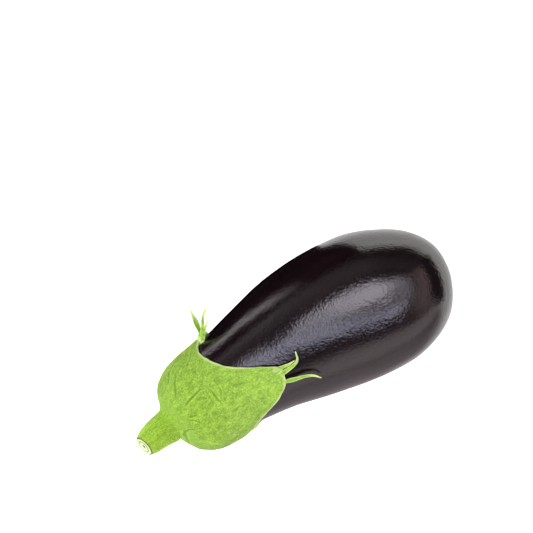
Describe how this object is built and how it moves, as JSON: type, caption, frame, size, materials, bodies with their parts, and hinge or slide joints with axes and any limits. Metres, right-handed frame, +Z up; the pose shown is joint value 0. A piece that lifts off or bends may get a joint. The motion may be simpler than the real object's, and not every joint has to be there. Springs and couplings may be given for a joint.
{
  "type": "eggplant",
  "caption": "Whole eggplant lying on its side, with a lobed green calyx and a short cut stem, as a fresh vegetable for a kitchen, market or crate scene.",
  "frame": {"origin": "middle of the bounding box, on the surface that the eggplant lies on", "axes": "+X along the fruit from the stem to the blossom end, +Y across it, +Z up"},
  "size_m": [0.2142, 0.0926, 0.0893],
  "materials": {
    "skin": "thin waxy skin, near-black purple, very glossy with fine orange-peel relief",
    "calyx_green": "fresh leathery green tissue with fine fibres, mottled, paler at its rim",
    "stem_green": "fibrous green stalk with soft ridges and a pale cut face"
  },
  "bodies": {
    "root": {"fruit": "skin", "calyx": "calyx_green", "stem": "stem_green"}
  },
  "joints": []
}
